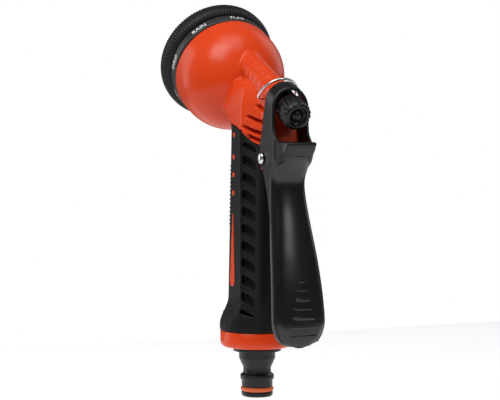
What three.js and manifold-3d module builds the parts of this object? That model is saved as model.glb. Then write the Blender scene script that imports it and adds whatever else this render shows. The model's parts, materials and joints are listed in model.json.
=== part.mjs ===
// Garden hose spray nozzle: a pistol body with a rear lever valve and an eight-pattern dial.
// Millimetres, +Z up the handle, spray towards -Y, hand lever on the +Y side.
// The origin is the centre of the hose connector's bottom face.
import * as THREE from 'three';
import { mergeVertices } from 'three/addons/utils/BufferGeometryUtils.js';
import Module from 'manifold-3d';

const wasm = await Module();
wasm.setup();

// ---- Driving dimensions ----
const FIT = 0.3;                          // clearance between neighbouring pieces
const TILT = THREE.MathUtils.degToRad(25); // spray axis above the horizontal
const DIAL_Y = -39.1;                     // centre of the bell's front rim
const DIAL_Z = 165.7;
const BELL_R = 28;
const BELL_STRAIGHT = 7.3;                // cylindrical part of the bell behind the rim
const BELL_WALL = 2.7;

const VALVE_UP = 15;                      // valve axis above the dial axis, also the port pitch radius
const BARREL_R = 6.9;
const BARREL_END = -66;                   // positions along the spray axis are measured from the rim
const CHAMBER_R = 5;
const SEAT_END = -19;
const OUTLET_R = 3.2;
const POST_R = 5.5;                       // centre post that carries the dial
const POST_FACE = -3.5;

const GRIP_HALF = 13;                     // half width of the grip
const GRIP_BACK = 22;
const GRIP_CORNER = 8.5;                  // half width at the back corners
const GRIP_SHOULDER = 8;                  // where the flanks start to taper
const GRIP_TURN = 2.5;                    // rounding from the flanks to the back
const SLEEVE_WALL = 2.5;
const FRONT_RAKE = 4.6;                   // how far the grip's front comes forward at its base
const BACK_RAKE = 3.4;
const NECK_Z = 134;                       // the neck leans forward above this height
const LEAN_Z = 137.5;                     // where the neck starts to lean forward
const NECK_LEAN = 1.1;
const CROWN_Z = 142;                      // the neck rounds off above this height
const CROWN_H = 22.5;
const NECK_TOP = 164;
const BORDER_FRONT = 138.6;               // top edge of the sleeve, in front and behind
const BORDER_REAR = 128.2;

const BASE_R = 18.7;
const BASE_BOTTOM = 25.6;
const BASE_TOP = 34;
const THREAD_R = 10;
const THREAD_TOP = 44;
const WATERWAY_R = 5.5;

const PIVOT_Y = 27.2;
const PIVOT_Z = 122;
const PIN_R = 1.6;
const WEB_HALF = 7.6;                     // half width of the body between the lever's cheeks
const CHEEK_INNER = 8.2;
const BAIL_Y = 21.3;
const BAIL_Z = 151.4;
const WIRE_R = 0.65;

const PATTERNS = 8;
const DETENT_R = 20.5;
const FLUTES = 90;
const KNOB_R = 7.5;
const KNOB_FRONT = -76.2;
const KNOB_BACK = -87.6;

const SPRAY = new THREE.Matrix4().makeRotationX(Math.PI / 2 - TILT).setPosition(0, DIAL_Y, DIAL_Z);
const ACROSS = new THREE.Matrix4().makeBasis(
  new THREE.Vector3(0, 1, 0), new THREE.Vector3(0, 0, 1), new THREE.Vector3(1, 0, 0));
const REARWARD = new THREE.Matrix4().makeBasis(
  new THREE.Vector3(1, 0, 0), new THREE.Vector3(0, 0, 1), new THREE.Vector3(0, -1, 0));

// ---- Solids ----
function solid(geometry) {
  const bare = geometry.clone();
  bare.deleteAttribute('normal');
  bare.deleteAttribute('uv');
  const merged = mergeVertices(bare, 1e-4);
  const index = merged.index.array;
  const faces = [];
  for (let i = 0; i < index.length; i += 3) {
    const [a, b, c] = [index[i], index[i + 1], index[i + 2]];
    if (a !== b && b !== c && c !== a) faces.push(a, b, c);
  }
  return new wasm.Manifold(new wasm.Mesh({
    numProp: 3,
    vertProperties: new Float32Array(merged.attributes.position.array),
    triVerts: new Uint32Array(faces),
  }));
}

function geometryOf(body) {
  const mesh = body.getMesh();
  const geometry = new THREE.BufferGeometry();
  geometry.setAttribute('position', new THREE.BufferAttribute(new Float32Array(mesh.vertProperties), 3));
  geometry.setIndex(new THREE.BufferAttribute(new Uint32Array(mesh.triVerts), 1));
  geometry.computeVertexNormals();
  return geometry;
}

function join(...bodies) {
  return bodies.reduce((whole, body) => whole.add(body));
}

function cut(body, ...tools) {
  return tools.reduce((whole, tool) => whole.subtract(tool), body);
}

// ---- Basic shapes, each along +Z ----
function rod(radius, from, to, x = 0, y = 0, sides = 24) {
  const geometry = new THREE.CylinderGeometry(radius, radius, to - from, sides);
  geometry.rotateX(Math.PI / 2);
  return geometry.translate(x, y, (from + to) / 2);
}

function turned(profile, sides = 24) {
  const points = profile.map(([radius, z]) => new THREE.Vector2(radius, z));
  return new THREE.LatheGeometry(points, sides).rotateX(Math.PI / 2);
}

function ring(outer, inner, from, to, sides = 24) {
  return turned([[inner, from], [outer, from], [outer, to], [inner, to], [inner, from]], sides);
}

function torus(major, minor, z, sides = 22) {
  return new THREE.TorusGeometry(major, minor, 6, sides).translate(0, 0, z);
}

function prism(shape, from, to, steps = 1, curveSegments = 4) {
  const options = { depth: to - from, steps, curveSegments, bevelEnabled: false };
  return new THREE.ExtrudeGeometry(shape, options).translate(0, 0, from);
}

function block(width, depth, height, x, y, z) {
  return new THREE.BoxGeometry(width, depth, height).translate(x, y, z);
}

function reshape(geometry, move) {
  const position = geometry.attributes.position;
  const point = new THREE.Vector3();
  for (let i = 0; i < position.count; i += 1) {
    point.fromBufferAttribute(position, i);
    move(point);
    position.setXYZ(i, point.x, point.y, point.z);
  }
  return geometry;
}

function outline(points) {
  return new THREE.Shape(points.map(([x, y]) => new THREE.Vector2(x, y)));
}

function vectors(points) {
  return points.map(([x, y]) => new THREE.Vector2(x, y));
}

// A coil spring is a round wire swept along a helix.
class Helix extends THREE.Curve {
  constructor(radius, from, to, turns) {
    super();
    Object.assign(this, { radius, from, to, turns });
  }

  getPoint(t, target = new THREE.Vector3()) {
    const angle = t * this.turns * 2 * Math.PI;
    const z = THREE.MathUtils.lerp(this.from, this.to, t);
    return target.set(this.radius * Math.cos(angle), this.radius * Math.sin(angle), z);
  }
}

function wire(curve, radius, steps, sides) {
  const section = new THREE.Shape().absarc(0, 0, radius, 0, 2 * Math.PI, false);
  return new THREE.ExtrudeGeometry(section, { steps, extrudePath: curve, curveSegments: sides });
}

function spring(radius, wireRadius, from, to, turns) {
  return wire(new Helix(radius, from, to, turns), wireRadius, turns * 9, 3);
}

// ---- Placing pieces ----
const nozzle = new THREE.Group();
nozzle.name = 'hose_spray_nozzle';
const head = new THREE.Group();           // +Z along the spray, origin at the bell's rim
head.applyMatrix4(SPRAY);
nozzle.add(head);
const valve = new THREE.Group();          // the valve axis, parallel to the spray
valve.position.y = VALVE_UP;
head.add(valve);

const ORANGE = { color: 0xd8431a, roughness: 0.35, metalness: 0 };
const BLACK = { color: 0x1b1b1d, roughness: 0.45, metalness: 0 };
const RUBBER = { color: 0x141416, roughness: 0.85, metalness: 0 };
const SEAL = { color: 0x2a2a2c, roughness: 0.9, metalness: 0 };
const ORANGE_SEAL = { color: 0xe0561f, roughness: 0.7, metalness: 0 };
const STEEL = { color: 0xb8bcc0, roughness: 0.25, metalness: 1 };
const BRASS = { color: 0xb8923e, roughness: 0.3, metalness: 1 };
const WHITE = { color: 0xe6e6e2, roughness: 0.5, metalness: 0 };

function place(group, name, body, look) {
  const mesh = new THREE.Mesh(geometryOf(body), new THREE.MeshStandardMaterial(look));
  mesh.name = name;
  group.add(mesh);
}

// ---- Grip outline: round front, straight flanks and a narrower rounded back ----
function gripShape(inset) {
  const half = GRIP_HALF - inset;
  const corner = GRIP_CORNER - inset;
  const back = GRIP_BACK - inset;
  const shape = new THREE.Shape();
  shape.moveTo(-half, 0);
  shape.absarc(0, 0, half, Math.PI, 2 * Math.PI, false);
  const flank = [[half, GRIP_SHOULDER / 2], [half, GRIP_SHOULDER]];
  for (let i = 1; i <= 3; i += 1) {
    flank.push([
      THREE.MathUtils.lerp(half, corner, i / 3),
      THREE.MathUtils.lerp(GRIP_SHOULDER, back - GRIP_TURN, i / 3)]);
  }
  flank.forEach(([x, y]) => shape.lineTo(x, y));
  shape.quadraticCurveTo(corner - 0.5, back, corner - 3.5, back);
  shape.lineTo(3.5 - corner, back);
  shape.quadraticCurveTo(0.5 - corner, back, -corner, back - GRIP_TURN);
  flank.reverse().slice(1).forEach(([x, y]) => shape.lineTo(-x, y));
  return shape;
}

// The grip's front and back are raked forward towards its base.
function rakeGrip(point) {
  const front = THREE.MathUtils.clamp((GRIP_SHOULDER - point.y) / GRIP_SHOULDER, 0, 1);
  const back = THREE.MathUtils.clamp((point.y - GRIP_SHOULDER) / (GRIP_BACK - GRIP_SHOULDER), 0, 1);
  const drop = Math.max(0, NECK_Z - point.z) / (NECK_Z - BASE_TOP);
  point.y -= drop * (FRONT_RAKE * front + BACK_RAKE * back);
}

// Above the handle the neck leans forward under the bell and rounds off towards the barrel.
function leanNeck(point) {
  const rise = THREE.MathUtils.clamp(point.z - LEAN_Z, 0, 14);
  const front = THREE.MathUtils.clamp((GRIP_SHOULDER - point.y) / GRIP_SHOULDER, 0, 1);
  const height = point.z + Math.tan(TILT) * point.y;
  point.y -= NECK_LEAN * rise * front;
  const crown = THREE.MathUtils.clamp((height - CROWN_Z) / CROWN_H, 0, 0.98);
  point.x *= Math.cbrt(1 - crown ** 3);
}

// Near the base the grip flares out to the round collar.
const FLARE_Z = 50.5;
const FLARE_END = 37;
function flareBase(reach) {
  return (point) => {
    const drop = THREE.MathUtils.clamp((FLARE_Z - point.z) / (FLARE_Z - FLARE_END), 0, 1);
    const radius = Math.hypot(point.x, point.y);
    const target = THREE.MathUtils.lerp(radius, reach, drop ** 2 * (3 - 2 * drop));
    point.x *= target / radius;
    point.y *= target / radius;
  };
}

function gripSolid(inset, flared = false) {
  const from = flared ? BASE_TOP + FIT : BASE_TOP - 1;
  const handle = prism(gripShape(inset), from, NECK_Z, flared ? 13 : 1, 5);
  reshape(handle, rakeGrip);
  if (flared) reshape(handle, flareBase(BASE_R + 0.3));
  const neck = reshape(prism(gripShape(inset), NECK_Z, NECK_TOP, 8, 5), leanNeck);
  return join(solid(handle), solid(neck).intersect(belowSlope(0, NECK_TOP)));
}

// Everything below a plane through (y, z) that slopes down to the back with the barrel.
function belowSlope(y, z) {
  const size = 400;
  return solid(block(size, size, size, 0, 0, -size / 2).rotateX(-TILT).translate(0, y, z));
}

// Everything below the top edge of the sleeve, which drops in a curve from the front to the back.
function belowBorder(drop) {
  const shape = new THREE.Shape();
  shape.moveTo(-40, BORDER_FRONT - drop);
  shape.lineTo(-40, 0);
  shape.lineTo(40, 0);
  shape.lineTo(40, BORDER_REAR - drop);
  shape.lineTo(22, BORDER_REAR - drop);
  shape.bezierCurveTo(11, BORDER_REAR - drop, 13, BORDER_FRONT - 2.5 - drop, -6, BORDER_FRONT - drop);
  return solid(prism(shape, -20, 20).applyMatrix4(ACROSS));
}

// ---- Bell ----
function bellProfile(radius, ahead, steps) {
  const profile = [];
  for (let i = 0; i <= steps; i += 1) {
    const angle = (i / steps) * (Math.PI / 2);
    profile.push([radius * Math.sin(angle), -BELL_STRAIGHT - radius * Math.cos(angle)]);
  }
  profile[0][0] = 0;
  profile.push([radius, ahead], [0, ahead]);
  return profile;
}

function bell(radius, ahead, sides = 44, steps = 9) {
  return solid(turned(bellProfile(radius, ahead, steps), sides).applyMatrix4(SPRAY));
}

function alongSpray(geometry) {
  return solid(geometry.applyMatrix4(SPRAY));
}

// ---- Web behind the grip that carries the lever pin, between the lever's cheeks ----
function webShape(grow) {
  const shape = new THREE.Shape();
  shape.moveTo(12, 116 - grow);
  shape.lineTo(26, 116 - grow);
  shape.splineThru(vectors([
    [31.5 + grow, 118.5], [32.6 + grow, 124], [31.2 + grow, 136], [27.5 + grow, 146]]));
  shape.lineTo(20, 152);
  shape.lineTo(6, 152);
  return shape;
}

function web(grow) {
  return solid(prism(webShape(grow), -WEB_HALF - grow, WEB_HALF + grow).applyMatrix4(ACROSS));
}

// ---- Gills: slots that run back along both flanks of the neck ----
const GILLS = 4;
const GILL_PITCH = 4.8;
const GILL_HEIGHT = 2.3;
const GILL_TOP = 147.2;
const GILL_SLOPE = 0.26;
const GILL_INNER = 6.4;

function gillSlots() {
  const slots = [];
  for (let i = 0; i < GILLS; i += 1) {
    const start = 16.5 - 0.8 * i - 4.2 * Math.sin((Math.PI * i) / GILLS);
    const slot = new THREE.Shape();
    slot.moveTo(20, -GILL_HEIGHT / 2);
    slot.lineTo(20, GILL_HEIGHT / 2);
    slot.lineTo(0, GILL_HEIGHT / 2);
    slot.absarc(0, 0, GILL_HEIGHT / 2, Math.PI / 2, 1.5 * Math.PI, false);
    for (const side of [-1, 1]) {
      const from = side > 0 ? GILL_INNER : -20;
      const geometry = prism(slot, from, from + 20 - GILL_INNER).rotateZ(-GILL_SLOPE);
      geometry.translate(start, GILL_TOP - i * GILL_PITCH, 0);
      slots.push(solid(geometry.applyMatrix4(ACROSS)));
    }
  }
  return slots;
}

// ---- Body: bell, valve barrel, neck, handle core and base collar in one moulding ----
const BARREL_RINGS = 6;
const RING_PITCH = 5.5;
const RING_RISE = 0.3;

function barrelProfile() {
  const profile = [[0, BARREL_END], [BARREL_R, BARREL_END]];
  for (let i = BARREL_RINGS - 1; i >= 0; i -= 1) {
    const z = -24 - i * RING_PITCH;
    profile.push([BARREL_R, z - 1.2], [BARREL_R + RING_RISE, z], [BARREL_R, z + 1.2]);
  }
  profile.push([BARREL_R, -8], [0, -8]);
  return profile;
}

// Four studs and a long drop of the orange core show through each side of the sleeve.
const INLAY_Y = 0.2;
const STUD_R = 1.3;
const STUDS = [133, 121.8, 112.8, 103.7];
const DROP_R = 2.3;
const DROP_BOTTOM = 59;
const DROP_TOP = 93;

function inlay(shape, z) {
  const geometry = prism(shape, -GRIP_HALF - 2, GRIP_HALF + 2, 1, 5).applyMatrix4(ACROSS);
  return solid(reshape(geometry.translate(0, INLAY_Y, z), rakeGrip));
}

function inlays(grow) {
  const stud = new THREE.Shape().absarc(0, 0, STUD_R + grow, 0, 2 * Math.PI, false);
  const drop = new THREE.Shape().absarc(0, 0, DROP_R + grow, Math.PI, 2 * Math.PI, false);
  const point = 0.5 + grow;
  drop.lineTo(point, DROP_TOP - DROP_BOTTOM + grow);
  drop.lineTo(-point, DROP_TOP - DROP_BOTTOM + grow);
  return [...STUDS.map((z) => inlay(stud, z)), inlay(drop, DROP_BOTTOM)];
}

function buildBody() {
  const core = gripSolid(SLEEVE_WALL);
  const underAxis = alongSpray(block(80, 2 * 60, 200, 0, VALVE_UP - 60, 0));
  const neck = gripSolid(0).subtract(belowBorder(0)).intersect(underAxis);
  const collar = solid(turned([
    [0, BASE_BOTTOM], [BASE_R - 2.4, BASE_BOTTOM], [BASE_R - 0.6, BASE_BOTTOM + 1],
    [BASE_R, BASE_BOTTOM + 2.6], [BASE_R, BASE_TOP - 0.5], [BASE_R - 0.5, BASE_TOP], [0, BASE_TOP]], 40));
  const barrel = alongSpray(turned(barrelProfile(), 18).translate(0, VALVE_UP, 0));
  const shell = join(bell(BELL_R, 0), core, neck, collar, barrel, web(0));

  const hollow = bell(BELL_R - BELL_WALL, 5, 32, 6);
  const kept = join(
    alongSpray(rod(BARREL_R, -60, POST_FACE, 0, VALVE_UP, 20)),
    alongSpray(rod(POST_R, -60, POST_FACE, 0, 0, 20)),
    alongSpray(rod(3.6, -60, POST_FACE, 0, -DETENT_R, 16)));
  const cavity = hollow.subtract(kept);
  const studs = inlays(0).map((stud) => stud.intersect(gripSolid(0.2)));

  return cut(
    join(shell, ...studs),
    cavity,
    alongSpray(rod(BARREL_R + 0.4, -95, BARREL_END, 0, VALVE_UP, 24)),
    alongSpray(rod(CHAMBER_R, BARREL_END - 1, SEAT_END, 0, VALVE_UP, 24)),
    alongSpray(rod(OUTLET_R, SEAT_END - 1, 0, 0, VALVE_UP, 20)),
    alongSpray(rod(4.6, POST_FACE - 7, 0, 0, VALVE_UP, 20)),
    alongSpray(rod(1.9, POST_FACE - 14, 0, 0, 0, 14)),
    alongSpray(rod(2.1, POST_FACE - 9, 0, 0, -DETENT_R, 14)),
    solid(rod(WATERWAY_R, THREAD_TOP - 2, 164, 0, 0, 20)),
    solid(rod(THREAD_R, BASE_BOTTOM - 1, THREAD_TOP, 0, 0, 32)),
    solid(rod(PIN_R + FIT, -20, 20, PIVOT_Y, PIVOT_Z, 16).applyMatrix4(ACROSS)),
    solid(rod(WIRE_R + FIT, 6.2, 20, BAIL_Y, BAIL_Z, 10).applyMatrix4(ACROSS)),
    solid(rod(WIRE_R + FIT, -20, -6.2, BAIL_Y, BAIL_Z, 10).applyMatrix4(ACROSS)),
    ...gillSlots());
}
place(nozzle, 'body', buildBody(), ORANGE);

// ---- Rubber sleeve over the handle, with slanted windows down both flanks ----
const WINDOWS = 9;
const WINDOW_PITCH = 8.57;
const WINDOW_TOP = 119.4;
const WINDOW_HALF = 4.4;
const WINDOW_HEIGHT = 4.2;
const WINDOW_SLOPE = 0.33;
const WINDOW_DEPTH = 1.4;
const WINDOW_END = 0.4;                   // half-height of the pointed side of an end window
const WINDOW_END_SHIFT = 1.6;

// Panes slope down towards the back; a wedge closes the row at each end.
function gripWindows() {
  const windows = [];
  const flankBack = GRIP_BACK - GRIP_TURN;
  const taper = Math.atan2(GRIP_HALF - GRIP_CORNER, flankBack - GRIP_SHOULDER);
  const rise = WINDOW_SLOPE * WINDOW_HALF;
  const tall = WINDOW_HEIGHT / 2;
  for (let i = -1; i <= WINDOWS; i += 1) {
    const first = i < 0;
    const last = i === WINDOWS;
    const top = first || last ? WINDOW_END : tall;
    const pane = outline([
      [-WINDOW_HALF, rise - (first ? WINDOW_END : tall)],
      [WINDOW_HALF, -rise - (last ? WINDOW_END : tall)],
      [WINDOW_HALF, top - rise], [-WINDOW_HALF, rise + top]]);
    const shift = first ? -WINDOW_END_SHIFT : last ? WINDOW_END_SHIFT : 0;
    const z = WINDOW_TOP - i * WINDOW_PITCH + shift;
    const forward = ((NECK_Z - z) / (NECK_Z - BASE_TOP)) * (BACK_RAKE / 2);
    for (const side of [-1, 1]) {
      const geometry = prism(pane, side > 0 ? -WINDOW_DEPTH : -4, side > 0 ? 4 : WINDOW_DEPTH);
      geometry.applyMatrix4(ACROSS).rotateZ(side * taper);
      geometry.translate(
        side * (GRIP_HALF + GRIP_CORNER) / 2, (GRIP_SHOULDER + flankBack) / 2 - forward, z);
      windows.push(solid(geometry));
    }
  }
  return windows;
}

function buildSleeve() {
  const outer = gripSolid(0, true).intersect(belowBorder(FIT));
  const core = gripSolid(SLEEVE_WALL - FIT);
  return cut(outer, core, bell(BELL_R + FIT, 1), web(FIT), ...inlays(FIT), ...gripWindows());
}
place(nozzle, 'grip_sleeve', buildSleeve(), RUBBER);

// ---- Hose connector: a quick-connect plug screwed into the base collar ----
const CONNECTOR_BORE = 5;
const connector = [
  [CONNECTOR_BORE, 0], [7.3, 0], [8, 0.8], [8, 2.5], [6.1, 2.5], [6.1, 5.1], [7.9, 5.1], [7.9, 8.4],
  [8.6, 9], [8.6, 11], [7.1, 12.2], [7.1, 14.8], [9.25, 19.6], [9.25, 23.3], [12.25, 23.3],
  [12.25, 25.3], [9.7, 25.3], [9.7, 39], [CONNECTOR_BORE, 39], [CONNECTOR_BORE, 0]];
place(nozzle, 'inlet_connector', solid(turned(connector, 26)), BLACK);
place(nozzle, 'inlet_washer', solid(ring(9.3, 5.2, 39.4, 41.4)), SEAL);
place(nozzle, 'connector_oring', solid(torus(7.4, 1.1, 3.8, 28)), ORANGE_SEAL);

// ---- Hand lever: an open channel with an arch round the valve stem and a lip under the arch ----
const PALM_WALL = 2.2;
const ARCH_R = 9.8;
const LIP_Z = 130.4;
const LEVER_BACK = 38.6;
const LIP_SWEEP = 8;

function leverSide() {
  const shape = new THREE.Shape();
  shape.moveTo(32, 160);
  shape.lineTo(25.9, 136.5);
  shape.splineThru(vectors([
    [23.9, 122], [26.6, 114], [31.7, 102], [39.2, 84.5], [45, 63], [47.7, 44], [48.6, 29]]));
  shape.lineTo(50.4, 30);
  shape.splineThru(vectors([[51.7, 44], [47.2, 72], [40.4, 100], [39, 110], [44, 120], [52, LIP_Z - 1.6]]));
  shape.lineTo(51.4, LIP_Z);
  shape.lineTo(LEVER_BACK + LIP_SWEEP, LIP_Z);
  shape.quadraticCurveTo(LEVER_BACK, LIP_Z, LEVER_BACK, LIP_Z + LIP_SWEEP);
  shape.lineTo(LEVER_BACK, 160);
  return shape;
}

function channelSide() {
  const shape = new THREE.Shape();
  shape.moveTo(0, 160);
  shape.lineTo(0, 31.6);
  shape.lineTo(50.4 - PALM_WALL, 31.6);
  shape.splineThru(vectors([
    [51.7 - PALM_WALL, 44], [47.2 - PALM_WALL, 72], [40.4 - PALM_WALL, 100],
    [39 - PALM_WALL, 110], [42, 120], [48.5, LIP_Z - 2.6]]));
  shape.lineTo(34.5, LIP_Z - 2.6);
  shape.lineTo(34.5, 160);
  return shape;
}

// Half widths of the lever seen from behind, from the tip of the palm up to the arch.
const LEVER_TIP = 4.6;
const LEVER_WIDTHS = [
  [9.6, 32.2], [13, 38], [14, 46], [12.5, 72], [10.5, 93], [9.3, 109], [10.1, 123], [10.2, 138]];

function leverFront(inset, bottom) {
  const right = LEVER_WIDTHS.map(([half, z]) => [half - inset, z]);
  const left = right.map(([half, z]) => [-half, z]).reverse();
  const top = right[right.length - 1];
  const shape = new THREE.Shape();
  shape.moveTo(-LEVER_TIP, bottom);
  shape.lineTo(LEVER_TIP, bottom);
  shape.splineThru(vectors(right));
  shape.lineTo(-top[0], top[1]);
  shape.splineThru(vectors(left.slice(1)));
  return shape;
}

function archShape(radius, foot) {
  const shape = new THREE.Shape();
  shape.moveTo(radius, foot);
  shape.lineTo(radius, VALVE_UP);
  shape.absarc(0, VALVE_UP, radius, 0, Math.PI, false);
  shape.lineTo(-radius, foot);
  return shape;
}

function buildLever() {
  const side = solid(prism(leverSide(), -16, 16).applyMatrix4(ACROSS));
  const front = solid(prism(leverFront(0, 29.6), -60, 0).applyMatrix4(REARWARD));
  const arch = alongSpray(prism(archShape(ARCH_R, -4), -95, -60, 1, 10));
  const channel = solid(prism(channelSide(), -16, 16).applyMatrix4(ACROSS));
  const inside = solid(prism(leverFront(1.8, 30.6), -60, 0).applyMatrix4(REARWARD));
  const upper = solid(block(2 * CHEEK_INNER, 80, 26, 0, 10, 125));
  const opening = alongSpray(prism(archShape(CHEEK_INNER, -12), -95, -60, 1, 10));
  const aboveLip = solid(block(40, 80, 40, 0, 40, LIP_Z + 20));
  const lugs = [-1, 1].map((sideOf) => {
    const from = sideOf > 0 ? 3.4 : -8.6;
    return alongSpray(rod(1.7, from, from + 5.2, VALVE_UP, KNOB_FRONT + 0.35 + 1.7, 20).applyMatrix4(ACROSS));
  });
  const shoulders = [-1, 1].map((sideOf) => {
    const corner = outline([
      [8.4 * sideOf, 54], [8.5 * sideOf, 48], [10.3 * sideOf, LEVER_BACK],
      [14 * sideOf, LEVER_BACK], [14 * sideOf, 54]]);
    return solid(prism(corner, 117, 140));
  });
  const blank = cut(side.intersect(join(front, arch)), ...shoulders);
  const hollowed = cut(blank, channel.intersect(join(inside, upper)), opening.intersect(aboveLip));
  const pinHole = rod(PIN_R + FIT, -20, 20, PIVOT_Y, PIVOT_Z, 16).applyMatrix4(ACROSS);
  return cut(join(hollowed, ...lugs), solid(pinHole));
}
place(nozzle, 'trigger_lever', buildLever(), BLACK);

// ---- Lever pin: a domed rivet through the cheeks and the web ----
const pin = [
  [0, -12], [2.4, -12], [2.8, -11.4], [2.8, -10.7], [PIN_R, -10.7], [PIN_R, 10.7], [2.8, 10.7],
  [2.8, 11.2], [2.1, 12], [0, 12.3]];
place(nozzle, 'lever_pin',
  solid(turned(pin, 20).applyMatrix4(ACROSS).translate(0, PIVOT_Y, PIVOT_Z)), STEEL);

// ---- Wire bail over the barrel: its ends turn in to the body, and it leans back on the arch ----
const BAIL_HALF = 9.9;
const BAIL_LEG = 2.2;
const BAIL_RISE = 11.3;
const BAIL_LEAN = THREE.MathUtils.degToRad(45);

function buildBail() {
  const path = new THREE.CurvePath();
  const lean = (x, up) => new THREE.Vector3(x, up * Math.sin(BAIL_LEAN), up * Math.cos(BAIL_LEAN));
  const bend = 1.6;
  const arc = (from, middle, to) => new THREE.QuadraticBezierCurve3(from, middle, to);
  path.add(new THREE.LineCurve3(lean(6.8, 0), lean(BAIL_HALF - bend, 0)));
  path.add(arc(lean(BAIL_HALF - bend, 0), lean(BAIL_HALF, 0), lean(BAIL_HALF, bend)));
  path.add(new THREE.LineCurve3(lean(BAIL_HALF, bend), lean(BAIL_HALF, BAIL_LEG)));
  const steps = 8;
  const round = (i) => {
    const angle = (i / steps) * Math.PI;
    return lean(BAIL_HALF * Math.cos(angle), BAIL_LEG + BAIL_RISE * Math.sin(angle));
  };
  const crown = Array.from({ length: steps + 1 }, (_, i) => round(i));
  path.add(new THREE.CatmullRomCurve3(crown));
  path.add(new THREE.LineCurve3(lean(-BAIL_HALF, BAIL_LEG), lean(-BAIL_HALF, bend)));
  path.add(arc(lean(-BAIL_HALF, bend), lean(-BAIL_HALF, 0), lean(bend - BAIL_HALF, 0)));
  path.add(new THREE.LineCurve3(lean(bend - BAIL_HALF, 0), lean(-6.8, 0)));
  return solid(wire(path, WIRE_R, 48, 4).translate(0, BAIL_Y, BAIL_Z));
}
place(nozzle, 'hold_open_bail', buildBail(), STEEL);

// ---- Valve, from the outlet port back to the flow knob ----
const STEM_R = 2;
const stem = [
  [0, -21.6], [1.5, -21.6], [1.5, -25], [4.3, -25], [4.3, -26.8], [STEM_R, -26.8], [STEM_R, -83],
  [1.4, -83.6], [0, -83.6]];
place(valve, 'valve_seat', solid(ring(4.6, 2.6, -21.8, -19.4)), BRASS);
place(valve, 'valve_seal', solid(ring(4.2, 1.8, -24.6, -22.2)), SEAL);
place(valve, 'valve_stem', solid(turned([...stem].reverse(), 20)), BRASS);
place(valve, 'stem_spring', solid(spring(3.3, 0.45, -52.4, -28, 8)), STEEL);
place(valve, 'stem_oring', solid(torus(3.5, 1, -55.4)), SEAL);
const gland = [
  [STEM_R + FIT, -69.2], [6.1, -69.2], [6.5, -68.8], [6.5, -66.3], [4.7, -66.3], [4.7, -57],
  [STEM_R + FIT, -57], [STEM_R + FIT, -69.2]];
place(valve, 'gland_nut', solid(turned(gland)), BLACK);

const KNOB_FLUTES = 18;
function knobShape() {
  const shape = new THREE.Shape();
  const steps = KNOB_FLUTES * 4;
  for (let i = 0; i < steps; i += 1) {
    const angle = (i / steps) * 2 * Math.PI;
    const radius = KNOB_R - 0.25 + 0.25 * Math.cos(KNOB_FLUTES * angle);
    const point = [radius * Math.cos(angle), radius * Math.sin(angle)];
    if (i === 0) shape.moveTo(...point);
    else shape.lineTo(...point);
  }
  return shape;
}

function buildKnob() {
  const grip = solid(prism(knobShape(), KNOB_BACK + 1.8, KNOB_FRONT));
  const rim = solid(turned([
    [0, KNOB_BACK], [6.3, KNOB_BACK], [6.8, KNOB_BACK + 0.6], [6.8, KNOB_BACK + 2.4], [0, KNOB_BACK + 2.4]]));
  const recess = solid(ring(4.3, 2.8, KNOB_BACK - 1, KNOB_BACK + 2.6, 20));
  const crown = solid(ring(4.3, 0, KNOB_BACK - 1, KNOB_BACK + 0.7, 20));
  const dome = solid(new THREE.SphereGeometry(3.1, 16, 10).translate(0, 0, KNOB_BACK + 2.9));
  const bore = solid(rod(STEM_R + FIT, KNOB_BACK + 3.6, KNOB_FRONT + 1, 0, 0, 20));
  return cut(join(cut(join(grip, rim), recess, crown), dome), bore);
}
place(valve, 'flow_knob', buildKnob(), BLACK);

// ---- Port seal and click stop, between the bell and the turning dial ----
place(valve, 'dial_seal', solid(ring(4.2, 2.4, -5, -3)), SEAL);
place(valve, 'dial_seal_spring', solid(spring(3.6, 0.4, -9.6, -5.9, 3)), STEEL);
const detent = new THREE.Group();
detent.position.y = -DETENT_R;
head.add(detent);
place(detent, 'detent_ball', solid(new THREE.SphereGeometry(1.75, 12, 8).translate(0, 0, -4.6)), STEEL);
place(detent, 'detent_spring', solid(spring(1.3, 0.3, -12, -6.9, 4)), STEEL);

// ---- Dial: back plate, gasket, housing, rubber grip, face plate, screw and cap ----
const BACK_FACE = -2.7;
const HOUSING_R = 28.2;
const GRIP_RING_R = 31.1;
const FRONT = 17.3;
const CHAMBER = 4.2;
const HUB_R = 2.2;

function aroundDial(count, radius, make) {
  return Array.from({ length: count }, (_, i) => {
    const angle = Math.PI / 2 - (i / count) * 2 * Math.PI;
    return make(radius * Math.cos(angle), radius * Math.sin(angle), angle, i);
  });
}

function buildBackPlate() {
  const plate = solid(ring(24.6, HUB_R, BACK_FACE, 0.2, 48));
  const ports = aroundDial(PATTERNS, VALVE_UP, (x, y) => solid(rod(2.6, -5, 5, x, y, 10)));
  const dimple = (x, y) => solid(new THREE.SphereGeometry(1.9, 10, 6).translate(x, y, BACK_FACE - 1.6));
  return cut(plate, ...ports, ...aroundDial(PATTERNS, DETENT_R, dimple));
}

function buildGasket() {
  const ports = aroundDial(PATTERNS, VALVE_UP, (x, y) => solid(rod(3, -5, 5, x, y, 10)));
  return cut(solid(ring(24, 4, 0.5, 1.5, 32)), ...ports);
}

function buildHousing() {
  const body = solid(turned([
    [HUB_R, 1.8], [25, 1.8], [25, 0.5], [27.6, 0.5], [HOUSING_R, 1.1], [HOUSING_R, 6], [27, 6.3],
    [27, 15.4], [24.6, 15.4], [24.6, 12.2], [HUB_R, 12.2], [HUB_R, 1.8]], 44));
  const chambers = aroundDial(PATTERNS, VALVE_UP + 1, (x, y) => solid(rod(CHAMBER, 0, 20, x, y, 12)));
  return cut(body, ...chambers);
}

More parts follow.
